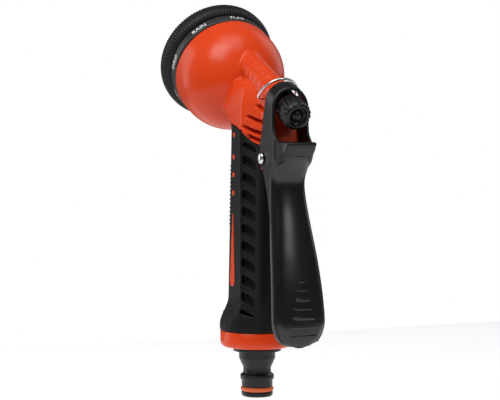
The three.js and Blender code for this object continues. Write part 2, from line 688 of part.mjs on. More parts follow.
// Fine flutes run along the rubber ring, and its rim is rounded front and back.
function buildDialGrip() {
  const shape = new THREE.Shape();
  const steps = FLUTES * 2;
  for (let i = 0; i < steps; i += 1) {
    const angle = (i / steps) * 2 * Math.PI;
    const radius = i % 2 ? GRIP_RING_R - 0.6 : GRIP_RING_R;
    const point = [radius * Math.cos(angle), radius * Math.sin(angle)];
    if (i === 0) shape.moveTo(...point);
    else shape.lineTo(...point);
  }
  shape.holes.push(new THREE.Path().absarc(0, 0, 27.3, 0, 2 * Math.PI, true));
  const geometry = prism(shape, 6.7, FRONT, 3, 18);
  const middle = (6.7 + FRONT) / 2;
  return solid(reshape(geometry, (point) => {
    const radius = Math.hypot(point.x, point.y);
    if (radius < 28) return;
    const drop = 2.2 * (Math.abs(point.z - middle) / (FRONT - middle)) ** 3;
    point.x *= (radius - drop) / radius;
    point.y *= (radius - drop) / radius;
  }));
}

// The eight outlets: each is a set of round holes, given as rings of count, radius and hole size.
const OUTLETS = [
  [[1, 0, 1.6]],
  [[6, 2.4, 0.45], [1, 0, 0.45]],
  [[3, 1.2, 0.4]],
  [[6, 2.4, 0.5]],
  [[5, 2.2, 0.8]],
  [[1, 0, 2.4]],
  [[2, 1.8, 0.9]],
  [[7, 3, 0.4]],
];

function buildFacePlate() {
  const plate = solid(ring(24.2, HUB_R, 12.5, 14.6, 40));
  const holes = aroundDial(PATTERNS, VALVE_UP + 1, (x, y, angle, i) =>
    OUTLETS[i].flatMap(([count, radius, size]) =>
      aroundDial(count, radius, (u, v) => solid(rod(size, 10, 20, x + u, y + v, 6)))));
  return cut(plate, ...holes.flat());
}
place(head, 'dial_back_plate', buildBackPlate(), WHITE);
place(head, 'dial_gasket', buildGasket(), SEAL);
place(head, 'dial_housing', buildHousing(), BLACK);
place(head, 'dial_grip', buildDialGrip(), RUBBER);
place(head, 'dial_face_plate', buildFacePlate(), BLACK);
const screw = [
  [0, -14], [1.5, -14], [1.5, -2.9], [1.9, -2.9], [1.9, 14.9], [3.6, 14.9], [3.6, 15.7],
  [2.6, 16.3], [0, 16.3]];
place(head, 'dial_screw', solid(turned(screw, 16)), STEEL);

export default nozzle;
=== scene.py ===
import json
import math
import bmesh
import bpy
from mathutils import Matrix, Vector


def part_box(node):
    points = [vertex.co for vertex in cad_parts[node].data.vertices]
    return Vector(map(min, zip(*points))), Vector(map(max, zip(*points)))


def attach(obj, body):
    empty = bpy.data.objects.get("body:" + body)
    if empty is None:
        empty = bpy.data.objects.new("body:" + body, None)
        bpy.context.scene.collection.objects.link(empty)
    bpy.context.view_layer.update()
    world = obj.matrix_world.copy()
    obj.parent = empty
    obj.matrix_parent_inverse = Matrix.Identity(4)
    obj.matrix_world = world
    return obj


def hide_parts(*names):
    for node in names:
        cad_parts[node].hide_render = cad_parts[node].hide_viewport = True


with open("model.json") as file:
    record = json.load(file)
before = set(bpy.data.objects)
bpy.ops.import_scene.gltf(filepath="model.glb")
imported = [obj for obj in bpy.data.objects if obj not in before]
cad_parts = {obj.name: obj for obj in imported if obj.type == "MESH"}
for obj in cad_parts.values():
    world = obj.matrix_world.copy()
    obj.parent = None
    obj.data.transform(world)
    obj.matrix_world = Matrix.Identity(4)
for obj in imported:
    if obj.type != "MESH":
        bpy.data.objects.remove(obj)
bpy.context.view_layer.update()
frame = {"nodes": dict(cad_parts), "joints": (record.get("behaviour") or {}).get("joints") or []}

MM = 0.001
NODES = frame["nodes"]
JOINTS = {joint["name"]: joint for joint in frame["joints"]}


# ---- View, floor and light ----
# The nozzle is seen from slightly above level, from behind and to one side of the lever.
# It hangs just clear of a plain pale floor, against a plain white room, under five soft lamps.
def camera(azimuth, elevation, target, distance, lens):
    turn = math.radians(azimuth)
    rise = math.radians(elevation)
    away = Vector((math.sin(turn) * math.cos(rise), -math.cos(turn) * math.cos(rise), math.sin(rise)))
    data = bpy.data.cameras.new("camera")
    data.lens = lens
    data.sensor_width = 36
    data.clip_start = 0.01
    data.clip_end = 50
    viewer = bpy.data.objects.new("camera", data)
    viewer.location = Vector(target) + away * distance
    viewer.rotation_euler = away.to_track_quat("Z", "Y").to_euler()
    bpy.context.scene.collection.objects.link(viewer)
    bpy.context.scene.camera = viewer


def lamp(name, azimuth, elevation, distance, width, height, power):
    turn = math.radians(azimuth)
    rise = math.radians(elevation)
    away = Vector((math.sin(turn) * math.cos(rise), -math.cos(turn) * math.cos(rise), math.sin(rise)))
    data = bpy.data.lights.new(name, "AREA")
    data.shape = "RECTANGLE"
    data.size = width
    data.size_y = height
    data.energy = power
    light = bpy.data.objects.new(name, data)
    light.location = Vector((0, 0, 0.1)) + away * distance
    light.rotation_euler = away.to_track_quat("Z", "Y").to_euler()
    bpy.context.scene.collection.objects.link(light)


def pale(name, tint):
    finish = bpy.data.materials.new(name)
    finish.use_nodes = True
    shader = finish.node_tree.nodes["Principled BSDF"]
    shader.inputs["Base Color"].default_value = (tint, tint, tint, 1)
    shader.inputs["Roughness"].default_value = 0.9
    shader.inputs["Specular IOR Level"].default_value = 0.1
    shader.inputs["Emission Color"].default_value = (1, 1, 1, 1)
    shader.inputs["Emission Strength"].default_value = 0.42
    return finish


def stage_plane(name, size, matrix, finish):
    half = size / 2
    mesh = bpy.data.meshes.new(name)
    corners = [(-half, -half, 0), (half, -half, 0), (half, half, 0), (-half, half, 0)]
    mesh.from_pydata(corners, [], [(0, 1, 2, 3)])
    mesh.transform(matrix)
    mesh.materials.append(finish)
    plane = bpy.data.objects.new(name, mesh)
    bpy.context.scene.collection.objects.link(plane)


camera(155, 3.5, (0, -0.0086, 0.0993), 1.0, 141.12)
stage_plane("floor", 0.84, Matrix.Translation((0, 0, -0.03)), pale("floor_white", 0.86))
lamp("left_softbox", 118, 54, 0.9, 0.45, 0.5, 5.0)
lamp("right_softbox", 196, 32, 0.9, 0.12, 0.4, 1.2)
lamp("top_softbox", 160, 78, 0.9, 0.5, 0.5, 2.4)
lamp("front_fill", 44, 12, 1.1, 0.4, 0.9, 2.4)
lamp("side_fill", 290, 25, 1.1, 0.6, 0.8, 1.5)
sky = bpy.data.worlds.new("studio")
sky.use_nodes = True
room = sky.node_tree.nodes["Background"]
room.inputs["Color"].default_value = (1, 1, 1, 1)
room.inputs["Strength"].default_value = 0.14
backdrop = sky.node_tree.nodes.new("ShaderNodeBackground")
backdrop.inputs["Color"].default_value = (1, 1, 1, 1)
backdrop.inputs["Strength"].default_value = 1.0
seen_directly = sky.node_tree.nodes.new("ShaderNodeLightPath")
either = sky.node_tree.nodes.new("ShaderNodeMixShader")
sky.node_tree.links.new(seen_directly.outputs["Is Camera Ray"], either.inputs[0])
sky.node_tree.links.new(room.outputs[0], either.inputs[1])
sky.node_tree.links.new(backdrop.outputs[0], either.inputs[2])
sky.node_tree.links.new(either.outputs[0], sky.node_tree.nodes["World Output"].inputs["Surface"])
bpy.context.scene.world = sky
bpy.context.scene.view_settings.view_transform = "Standard"


# ---- Body moulding ----
# One orange injection moulding: the bell behind the dial, the ribbed valve barrel, the neck with
# four gills down each side, the web that carries the lever pin, and the round collar at the base.
def plastic(name, colour, rough, rough_spread, grain, depth, coat=0.0):
    """Moulded plastic or rubber: the gloss wanders a little and a fine grain roughens the skin."""
    finish = bpy.data.materials.new(name)
    finish.use_nodes = True
    nodes = finish.node_tree.nodes
    links = finish.node_tree.links
    shader = nodes["Principled BSDF"]
    shader.inputs["Base Color"].default_value = (*colour, 1)
    shader.inputs["Coat Weight"].default_value = coat
    shader.inputs["Coat Roughness"].default_value = 0.08
    place = nodes.new("ShaderNodeTexCoord")
    cloud = nodes.new("ShaderNodeTexNoise")
    cloud.inputs["Scale"].default_value = 45
    cloud.inputs["Detail"].default_value = 3
    spread = nodes.new("ShaderNodeMapRange")
    spread.inputs["To Min"].default_value = rough - rough_spread
    spread.inputs["To Max"].default_value = rough + rough_spread
    skin = nodes.new("ShaderNodeTexNoise")
    skin.inputs["Scale"].default_value = grain
    skin.inputs["Detail"].default_value = 4
    bump = nodes.new("ShaderNodeBump")
    bump.inputs["Strength"].default_value = 1
    bump.inputs["Distance"].default_value = depth * MM
    links.new(place.outputs["Object"], cloud.inputs["Vector"])
    links.new(cloud.outputs["Fac"], spread.inputs["Value"])
    links.new(spread.outputs["Result"], shader.inputs["Roughness"])
    links.new(place.outputs["Object"], skin.inputs["Vector"])
    links.new(skin.outputs["Fac"], bump.inputs["Height"])
    links.new(bump.outputs["Normal"], shader.inputs["Normal"])
    return finish


def duller(finish, level):
    """A finish whose plain reflection is weaker than most plastics'."""
    finish.node_tree.nodes["Principled BSDF"].inputs["Specular IOR Level"].default_value = level
    return finish


def body_from(name, corners, faces):
    """A closed mesh object whose corners are given in millimetres, with its faces outwards."""
    mesh = bpy.data.meshes.new(name)
    mesh.from_pydata([Vector(corner) * MM for corner in corners], [], faces)
    shell = bmesh.new()
    shell.from_mesh(mesh)
    bmesh.ops.remove_doubles(shell, verts=shell.verts, dist=1e-7)
    bmesh.ops.recalc_face_normals(shell, faces=shell.faces)
    shell.to_mesh(mesh)
    shell.free()
    piece = bpy.data.objects.new(name, mesh)
    bpy.context.scene.collection.objects.link(piece)
    return piece


def lofted(name, rings, closed=False):
    """Skins a list of rings, each with as many corners; the two end rings are filled in."""
    count = len(rings[0])
    corners = [corner for ring in rings for corner in ring]
    faces = []
    levels = len(rings)
    for level in range(levels if closed else levels - 1):
        above = (level + 1) % levels
        for i in range(count):
            j = (i + 1) % count
            faces.append((level * count + i, level * count + j, above * count + j, above * count + i))
    if not closed:
        faces.append(tuple(range(count - 1, -1, -1)))
        faces.append(tuple((levels - 1) * count + i for i in range(count)))
    return body_from(name, corners, faces)


def turned(name, profile, sides=96, closed=False):
    """Turns a profile of (radius, height) about the Z axis."""
    rings = []
    for radius, height in profile:
        rings.append([
            (max(radius, 1e-3) * math.cos(2 * math.pi * i / sides),
             max(radius, 1e-3) * math.sin(2 * math.pi * i / sides), height)
            for i in range(sides)])
    return lofted(name, rings, closed)


def bar(name, outline, start, end):
    """A straight bar of that (x, y) outline, from one height to another."""
    return lofted(name, [[(x, y, height) for x, y in outline] for height in (start, end)])


def moved(piece, matrix):
    """Puts a piece's shape in place; the matrix is in millimetres."""
    to_metres = matrix.copy()
    to_metres.translation = matrix.translation * MM
    piece.data.transform(to_metres)
    if matrix.to_3x3().determinant() < 0:
        piece.data.flip_normals()
    return piece


def plain(piece):
    """Bakes a piece's modifiers into its mesh."""
    bpy.context.view_layer.update()
    seen = piece.evaluated_get(bpy.context.evaluated_depsgraph_get())
    mesh = bpy.data.meshes.new_from_object(seen)
    piece.modifiers.clear()
    piece.data = mesh
    return piece


def combined(piece, tools, operation):
    """Joins tools to a piece, cuts them out of it, or keeps what is in both."""
    for tool in tools:
        change = piece.modifiers.new("combine", "BOOLEAN")
        change.operation = operation
        change.solver = "EXACT"
        change.object = tool
        plain(piece)
        bpy.data.objects.remove(tool)
    return piece


def moulded(piece, voxel, passes):
    """Rounds a piece's edges as a mould does, by rebuilding its skin and relaxing it."""
    rebuild = piece.modifiers.new("rebuild", "REMESH")
    rebuild.mode = "VOXEL"
    rebuild.voxel_size = voxel * MM
    relax = piece.modifiers.new("relax", "SMOOTH")
    relax.factor = 0.5
    relax.iterations = passes
    return plain(piece)


def finished(piece, finish, slot, body, *replaced):
    """Gives a piece its material and its place in the assembly."""
    piece.data.materials.clear()
    piece.data.materials.append(finish)
    piece.data.shade_smooth()
    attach(piece, body)
    if replaced:
        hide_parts(*replaced)
    return piece


def curve_points(points, steps):
    """A smooth run through the given points, as a spline that passes through each."""
    run = []
    last = len(points) - 1
    for i in range(last):
        before, start, end, after = (
            points[max(i - 1, 0)], points[i], points[i + 1], points[min(i + 2, last)])
        for step in range(steps):
            t = step / steps
            run.append(tuple(
                0.5 * (2 * s + (e - b) * t + (2 * b - 5 * s + 4 * e - a) * t ** 2
                       + (3 * s - b - 3 * e + a) * t ** 3)
                for b, s, e, a in zip(before, start, end, after)))
    run.append(tuple(points[last]))
    return run


dial_axis = Vector(JOINTS["dial_turn"]["axis"])
dial_place = Vector(JOINTS["dial_turn"]["pos_m"]) / MM
dial_up = Vector((0, dial_axis.z, -dial_axis.y))
SPRAY = Matrix((
    (1, 0, 0, dial_place.x),
    (0, dial_up.y, dial_axis.y, dial_place.y),
    (0, dial_up.z, dial_axis.z, dial_place.z),
    (0, 0, 0, 1)))
ACROSS = Matrix(((0, 0, 1, 0), (1, 0, 0, 0), (0, 1, 0, 0), (0, 0, 0, 1)))
knob_place = Vector(JOINTS["knob_turn"]["pos_m"]) / MM
VALVE_UP = (knob_place - dial_place).dot(dial_up)
TILT = math.asin(dial_axis.z)
PIVOT = Vector(JOINTS["trigger_squeeze"]["pos_m"]) / MM

BELL_R = 28
BELL_STRAIGHT = 7.3
BARREL_R = 6.6
BARREL_END = -66
NECK_Z = 134
LEAN_Z = 137.5
NECK_TOP = 164
BASE_TOP = 34
GRIP_HALF = 13
GRIP_CORNER = 8.5
GRIP_BACK = 22
GRIP_SHOULDER = 8
GRIP_TURN = 2.5


def grip_outline(inset):
    """The handle's section: a round front, straight flanks and a narrower rounded back."""
    half = GRIP_HALF - inset
    corner = GRIP_CORNER - inset
    back = GRIP_BACK - inset
    right = [(half * math.sin(i * math.pi / 36), -half * math.cos(i * math.pi / 36)) for i in range(19)]
    right += [(half, GRIP_SHOULDER * i / 4) for i in range(1, 4)]
    for i in range(9):
        t = i / 8
        right.append((
            half + (corner - half) * t,
            GRIP_SHOULDER + (back - GRIP_TURN - GRIP_SHOULDER) * t))
    for i in range(1, 7):
        t = i / 6
        start, bend, end = (corner, back - GRIP_TURN), (corner - 0.5, back), (corner - 3.5, back)
        right.append(tuple(
            (1 - t) ** 2 * s + 2 * t * (1 - t) * b + t ** 2 * e for s, b, e in zip(start, bend, end)))
    right.append((0, back))
    return right + [(-x, y) for x, y in reversed(right[1:-1])]


def raked(x, y, z):
    front = min(max((GRIP_SHOULDER - y) / GRIP_SHOULDER, 0), 1)
    back = min(max((y - GRIP_SHOULDER) / (GRIP_BACK - GRIP_SHOULDER), 0), 1)
    drop = max(0, NECK_Z - z) / (NECK_Z - BASE_TOP)
    return x, y - drop * (4.6 * front + 3.4 * back), z


def leaned(x, y, z):
    rise = min(max(z - LEAN_Z, 0), 14)
    front = min(max((GRIP_SHOULDER - y) / GRIP_SHOULDER, 0), 1)
    front = front ** 2 * (3 - 2 * front)
    crown = min(max((z + math.tan(TILT) * y - 142) / 22.5, 0), 0.98)
    return x * (1 - crown ** 3) ** (1 / 3), y - 1.1 * rise * front, z


def below_slope(name, y, z):
    size = 200
    square = [(-size, -size), (size, -size), (size, size), (-size, size)]
    block = bar(name, square, -2 * size, 0)
    return moved(block, Matrix.Translation((0, y, z)) @ Matrix.Rotation(-TILT, 4, "X"))


def below_border(drop):
    """Everything below the sleeve's top edge, which drops in a curve from the front to the back."""
    front, rear = 138.6 - drop, 128.2 - drop
    edge = [(-40, 0), (40, 0), (40, rear), (22, rear)]
    for i in range(1, 16):
        t = i / 16
        edge.append(tuple(
            (1 - t) ** 3 * p + 3 * t * (1 - t) ** 2 * q + 3 * t ** 2 * (1 - t) * u + t ** 3 * v
            for p, q, u, v in zip((22, rear), (11, rear), (13, front - 2.5), (-6, front))))
    return moved(bar("border", edge + [(-6, front), (-40, front)], -20, 20), ACROSS)


def barrel_profile():
    """The barrel's rings are shallow swellings with a crease between each two."""
    profile = [(0, BARREL_END), (BARREL_R - 0.5, BARREL_END), (BARREL_R, BARREL_END + 0.5)]
    rings = 7
    pitch = 5.4
    first = -60.5
    steps = 10
    for i in range(rings * steps + 1):
        swell = abs(math.sin(math.pi * i / steps)) ** 0.6
        profile.append((BARREL_R - 0.15 + 0.55 * swell, first + i * pitch / steps))
    return profile + [(BARREL_R, -12), (0, -12)]


def gill_cutters():
    """Four slots a side, each with a round front end, that dip towards the back."""
    starts = [(17.6, 147.6), (12.2, 142.5), (9.6, 137.4), (12.6, 132.9)]
    half = 1.05
    tools = []
    for y, z in starts:
        path = curve_points([(0, 0), (5, -1.9), (11, -3.3), (20, -4.6)], 5)
        upper = [(a, b + half) for a, b in path]
        lower = [(a, b - half) for a, b in path]
        nose = [(half * math.cos(t * math.pi / 8), half * math.sin(t * math.pi / 8))
                for t in range(11, 4, -1)]
        outline = nose + upper[1:] + list(reversed(lower[1:]))
        for side in (-1, 1):
            span = (5.4, 16) if side > 0 else (-16, -5.4)
            tools.append(moved(
                bar("gill", [(a + y, b + z) for a, b in outline], *span), ACROSS))
    return tools


def make_body():
    bell = [(0, -BELL_R - BELL_STRAIGHT)]
    steps = 40
    for i in range(1, steps + 1):
        angle = i / steps * math.pi / 2
        bell.append((BELL_R * math.sin(angle), -BELL_STRAIGHT - BELL_R * math.cos(angle)))
    bell += [(BELL_R, -0.2), (25.2, -0.2), (25.2, -3.2), (0, -3.2)]
    shell = moved(turned("body_moulding", bell, 160), SPRAY)
    outline = grip_outline(0)
    levels = [NECK_Z - 14 + 0.5 * i for i in range(int(2 * (NECK_TOP - NECK_Z + 14)) + 1)]
    neck = lofted("neck", [[leaned(*raked(x, y, z)) for x, y in outline] for z in levels])
    combined(neck, [below_slope("crown", 0, NECK_TOP)], "INTERSECT")
    combined(neck, [below_border(-0.1)], "DIFFERENCE")
    web = [(12, 116), (26, 116)]
    web += curve_points([(26, 116), (31.5, 118.5), (32.6, 124), (31.2, 136), (27.5, 146)], 6)[1:]
    web += [(20, 152), (6, 152)]
    web = moved(bar("web", web, -7.6, 7.6), ACROSS)
    barrel = moved(turned("barrel", barrel_profile(), 64), SPRAY @ Matrix.Translation((0, VALVE_UP, 0)))
    combined(shell, [neck, web, barrel], "UNION")
    clearance = turned("clearance", [(0, -95), (7.3, -95), (7.3, BARREL_END), (0, BARREL_END)], 48)
    moved(clearance, SPRAY @ Matrix.Translation((0, VALVE_UP, 0)))
    combined(shell, [clearance] + gill_cutters(), "DIFFERENCE")
    return moulded(shell, 0.45, 8)


orange = duller(plastic("orange_gloss", (0.69, 0.052, 0.007), 0.32, 0.04, 700, 0.006, coat=0.08), 0.22)
finished(make_body(), orange, "orange_plastic", "body", "body")

BASE_R = 18.7
collar_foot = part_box("grip_sleeve")[0].z / MM - 8.7
collar_profile = [(9.9, collar_foot), (BASE_R - 2.6, collar_foot)]
for i in range(9):
    angle = i / 8 * math.pi / 2
    collar_profile.append((
        BASE_R - 2.6 + 2.6 * math.sin(angle), collar_foot + 2.6 - 2.6 * math.cos(angle)))
collar_profile += [(BASE_R, 33.6), (BASE_R - 0.5, BASE_TOP), (9.9, BASE_TOP)]
finished(turned("base_collar", collar_profile, 128, closed=True),
         orange, "orange_plastic", "body", "body")


# ---- Orange studs in the handle ----
# The core of the handle shows through the sleeve as four round studs and one long drop a side.
# They are part of the same orange moulding and stand just proud of the rubber.
INLAY_Y = 0.2
INLAY_RAKE = 0.03
STUD_R = 1.3
STUDS = (133, 121.8, 112.8, 103.7)
DROP_R = 2.7
DROP_BOTTOM = 59
DROP_TOP = 93


def make_inlays():
    outline = grip_outline(-0.1)
    levels = [54 + i for i in range(84)]
    core = lofted("handle_inlays", [[raked(x, y, z) for x, y in outline] for z in levels])
    tools = []
    for z in STUDS:
        tools.append([(STUD_R * math.cos(t * math.pi / 16), z + STUD_R * math.sin(t * math.pi / 16))
                      for t in range(32)])
    drop = [(DROP_R * math.cos(t * math.pi / 16), DROP_BOTTOM + DROP_R * math.sin(t * math.pi / 16))
            for t in range(16, 33)]
    drop += [(2.1, 68), (1.4, 79), (0.4, DROP_TOP), (-0.4, DROP_TOP), (-1.4, 79), (-2.1, 68)]
    tools.append(drop)
    blanks = []
    for tool in tools:
        outline = [(y + INLAY_Y - INLAY_RAKE * (NECK_Z - z), z) for y, z in tool]
        blanks.append(moved(bar("stud", outline, -20, 20), ACROSS))
    blank = combined(blanks[0], blanks[1:], "UNION")
    hollow = lofted("hollow", [[raked(x, y, z) for x, y in grip_outline(1.2)]
                               for z in [50 + i for i in range(92)]])
    combined(core, [blank], "INTERSECT")
    return combined(core, [hollow], "DIFFERENCE")


finished(make_inlays(), orange, "orange_plastic", "body", "body")


# ---- Rubber sleeve ----
# A soft black overmould round the handle. Its flanks carry a row of slanted pockets behind a
# raised line, its front has fine cross ridges, and it flares out to the collar at the base.
def bead_tree():
    """Follows each curve of an object with a round bead; the radius and finish are inputs."""
    tree = bpy.data.node_groups.new("bead", "GeometryNodeTree")
    face = tree.interface
    face.new_socket("Curve", in_out="INPUT", socket_type="NodeSocketGeometry")
    face.new_socket("Radius", in_out="INPUT", socket_type="NodeSocketFloat")
    face.new_socket("Sides", in_out="INPUT", socket_type="NodeSocketInt")
    face.new_socket("Finish", in_out="INPUT", socket_type="NodeSocketMaterial")
    face.new_socket("Bead", in_out="OUTPUT", socket_type="NodeSocketGeometry")
    nodes = tree.nodes
    links = tree.links
    given = nodes.new("NodeGroupInput")
    made = nodes.new("NodeGroupOutput")
    section = nodes.new("GeometryNodeCurvePrimitiveCircle")
    sweep = nodes.new("GeometryNodeCurveToMesh")
    sweep.inputs["Fill Caps"].default_value = True
    realize = nodes.new("GeometryNodeRealizeInstances")
    paint = nodes.new("GeometryNodeSetMaterial")
    links.new(given.outputs["Curve"], sweep.inputs["Curve"])
    links.new(given.outputs["Radius"], section.inputs["Radius"])
    links.new(given.outputs["Sides"], section.inputs["Resolution"])
    links.new(section.outputs["Curve"], sweep.inputs["Profile Curve"])
    links.new(sweep.outputs["Mesh"], realize.inputs["Geometry"])
    links.new(realize.outputs["Geometry"], paint.inputs["Geometry"])
    links.new(given.outputs["Finish"], paint.inputs["Material"])
    links.new(paint.outputs["Geometry"], made.inputs["Bead"])
    return tree


def set_inputs(modifier, **values):
    for item in modifier.node_group.interface.items_tree:
        if item.in_out == "INPUT" and item.name.lower() in values:
            modifier[item.identifier] = values[item.name.lower()]


BEAD = bead_tree()


def beads(name, paths, radius, sides, finish, cyclic=False):
    """Round beads of one radius along paths whose points are in millimetres."""
    curve = bpy.data.curves.new(name, "CURVE")
    curve.dimensions = "3D"
    for path in paths:
        spline = curve.splines.new("POLY")
        spline.points.add(len(path) - 1)
        for point, place in zip(spline.points, path):
            point.co = (place[0] * MM, place[1] * MM, place[2] * MM, 1)
        spline.use_cyclic_u = cyclic
    run = bpy.data.objects.new(name, curve)
    bpy.context.scene.collection.objects.link(run)
    follow = run.modifiers.new("bead", "NODES")
    follow.node_group = BEAD
    set_inputs(follow, radius=radius * MM, sides=sides, finish=finish)
    bpy.context.view_layer.update()
    seen = run.evaluated_get(bpy.context.evaluated_depsgraph_get())
    mesh = bpy.data.meshes.new_from_object(seen)
    piece = bpy.data.objects.new(name, mesh)
    bpy.context.scene.collection.objects.link(piece)
    bpy.data.objects.remove(run)
    outward = bmesh.new()
    outward.from_mesh(mesh)
    bmesh.ops.remove_doubles(outward, verts=outward.verts, dist=1e-7)
    bmesh.ops.recalc_face_normals(outward, faces=outward.faces)
    outward.to_mesh(mesh)
    outward.free()
    return piece


FLARE_Z = 50.5
FLARE_END = 37


def sleeve_point(x, y, z):
    """A point of the handle's section, carried to where the sleeve's skin is at that height."""
    x, y, z = leaned(*raked(x, y, z))
    drop = min(max((FLARE_Z - z) / (FLARE_Z - FLARE_END), 0), 1)
    radius = math.hypot(x, y)
    reach = radius + (BASE_R + 0.3 - radius) * drop ** 2 * (3 - 2 * drop)
    return x * reach / radius, y * reach / radius, z


WINDOWS = 9
WINDOW_PITCH = 8.57
WINDOW_TOP = 119.4
WINDOW_HALF = 4.4
WINDOW_SLOPE = 0.34
WINDOW_TALL = 2.3


def window_cutters():
    """Pockets down both flanks; the first and last are wedges that close the row."""
    tools = []
    flank_back = GRIP_BACK - GRIP_TURN
    taper = math.atan2(GRIP_HALF - GRIP_CORNER, flank_back - GRIP_SHOULDER)
    rise = WINDOW_SLOPE * WINDOW_HALF
    for i in range(-1, WINDOWS + 1):
        wedge = i < 0 or i == WINDOWS
        top = 0.5 if wedge else WINDOW_TALL
        front = 1.6 if i == WINDOWS else WINDOW_TALL
        back = 0.3 if i == WINDOWS else WINDOW_TALL
        pane = [(-WINDOW_HALF, rise - front), (WINDOW_HALF, -rise - back),
                (WINDOW_HALF, top - rise - 0.4), (WINDOW_HALF - 1, top - rise + 0.3),
                (1 - WINDOW_HALF, rise + top), (-WINDOW_HALF, rise + top - 1)]
        z = WINDOW_TOP - i * WINDOW_PITCH + (1.6 if i == WINDOWS else 0)
        forward = (NECK_Z - z) / (NECK_Z - BASE_TOP) * 1.7
        for side in (-1, 1):
            span = (-2.3, 5) if side > 0 else (-5, 2.3)
            place = Matrix.Translation((
                side * (GRIP_HALF + GRIP_CORNER) / 2, (GRIP_SHOULDER + flank_back) / 2 - forward, z))
            turn = Matrix.Rotation(side * taper, 4, "Z")
            tools.append(moved(bar("pocket", pane, *span), place @ turn @ ACROSS))
    return tools


def ridge_paths():
    """The raised line in front of the pockets, which sweeps forward onto the flare at its foot."""
    paths = []
    for side in (-1, 1):
        run = [(GRIP_HALF - 0.15, 8.4, z) for z in range(136, 54, -3)]
        run += [(12.9, 7.2, 50.5), (12.6, 4.5, 47), (12.3, 0.5, 44.5), (11.6, -4, 42.6), (9.6, -8, 41.2)]
        paths.append(curve_points([
            (side * x, y, z) for x, y, z in (sleeve_point(*point) for point in run)], 3))
    return paths


FINGER_RIDGES = 15


def cross_ridges():
    """Fine ridges across the front of the handle, where the fingertips rest."""
    paths = []
    for i in range(FINGER_RIDGES):
        z = 87.5 + 2.1 * i
        turns = [math.radians(-62 + 4 * step) for step in range(32)]
        paths.append([sleeve_point(12.95 * math.sin(t), -12.95 * math.cos(t), z) for t in turns])
    return paths


def make_sleeve():
    outline = grip_outline(0)
    levels = [BASE_TOP + 0.15 + 0.9 * i for i in range(125)]
    sleeve = lofted("handle_sleeve", [[sleeve_point(x, y, z) for x, y in outline] for z in levels])
    combined(sleeve, [below_border(0.12)], "INTERSECT")
    combined(sleeve, window_cutters(), "DIFFERENCE")
    combined(sleeve, [beads("raised", ridge_paths(), 0.6, 8, rubber)], "UNION")
    return moulded(sleeve, 0.42, 2)


rubber = duller(plastic("sleeve_rubber", (0.005, 0.005, 0.0055), 0.52, 0.06, 1500, 0.02), 0.16)
finished(make_sleeve(), rubber, "grip_rubber", "body", "grip_sleeve")
finished(beads("finger_ridges", cross_ridges(), 0.45, 8, rubber), rubber, "grip_rubber", "body",
         "grip_sleeve")

# ---- Hose connector ----
# A black quick-connect plug screwed up into the collar, with a flange, a stepped land for the
# coupling and an orange sealing ring near its tip; a washer seals its thread inside.
def rounded(profile, radius, closed=True):
    """The same outline with each corner turned off to a small radius."""
    run = []
    count = len(profile)
    for i, corner in enumerate(profile):
        if not closed and i in (0, count - 1):
            run.append(corner)
            continue
        before = Vector(profile[i - 1])
        here = Vector(corner)
        after = Vector(profile[(i + 1) % count])
        start = here + (before - here).normalized() * min(radius, (before - here).length * 0.45)
        end = here + (after - here).normalized() * min(radius, (after - here).length * 0.45)
        for step in range(4):
            t = step / 3
            run.append(tuple((1 - t) ** 2 * start + 2 * t * (1 - t) * here + t ** 2 * end))
    return run


black = duller(plastic("black_moulding", (0.005, 0.0048, 0.005), 0.34, 0.05, 1100, 0.012), 0.34)
connector_profile = [
    (5, 0), (7.3, 0), (8, 0.8), (8, 2.5), (6.1, 2.5), (6.1, 5.1), (7.9, 5.1), (7.9, 8.4), (8.6, 9),
    (8.6, 11), (7.1, 12.2), (7.1, 14.8), (9.25, 19.6), (9.25, 23.3), (12.25, 23.3), (12.25, 25.3),
    (9.7, 25.3), (9.7, 39), (5, 39)]
finished(turned("hose_connector", rounded(connector_profile, 0.35), 96, closed=True),
         black, "black_plastic", "body", "inlet_connector")

orange_seal = plastic("orange_seal", (0.68, 0.12, 0.03), 0.42, 0.05, 900, 0.01)
ring_section = [
    (7.3 + 1.15 * math.cos(i * math.pi / 8), 3.8 + 1.15 * math.sin(i * math.pi / 8)) for i in range(16)]
finished(turned("sealing_ring", ring_section, 96, closed=True),
         orange_seal, "orange_rubber", "body", "connector_oring")


# ---- Hand lever ----
# A black channel-shaped moulding on the pin: flat satin cheeks, a glossy palm pad on its back, a
# lip to push on at the top, and above the lip an arch round the valve and its knob.
LEVER_BACK_LINE = [
    (29.4, 50.2), (36, 51.4), (44, 51.7), (58, 50), (72, 47.2), (86, 43.8), (100, 40.4), (110, 39.2),
    (116, 41), (120, 44), (124.5, 47.9), (128.8, 51.6), (130.4, 51.4)]
LEVER_FRONT_LINE = [
    (29.4, 48.6), (44, 47.7), (63, 45), (84.5, 39.2), (102, 31.7), (114, 26.6), (122, 23.9),
    (130.4, 24.3), (136.5, 25.9)]
LEVER_HALF_LINE = [
    (29.4, 3), (30.2, 6.4), (32.2, 9.6), (38, 13), (46, 14), (72, 12.5), (93, 10.5), (109, 9.3),
    (123, 10.1), (138, 10.2)]


def along(line, z):
    """Reads a smooth line of (height, value) at one height."""
    run = curve_points(line, 12)
    if z <= run[0][0]:
        return run[0][1]
    for (low, a), (high, b) in zip(run, run[1:]):
        if z <= high:
            return a + (b - a) * (z - low) / (high - low)
    return run[-1][1]


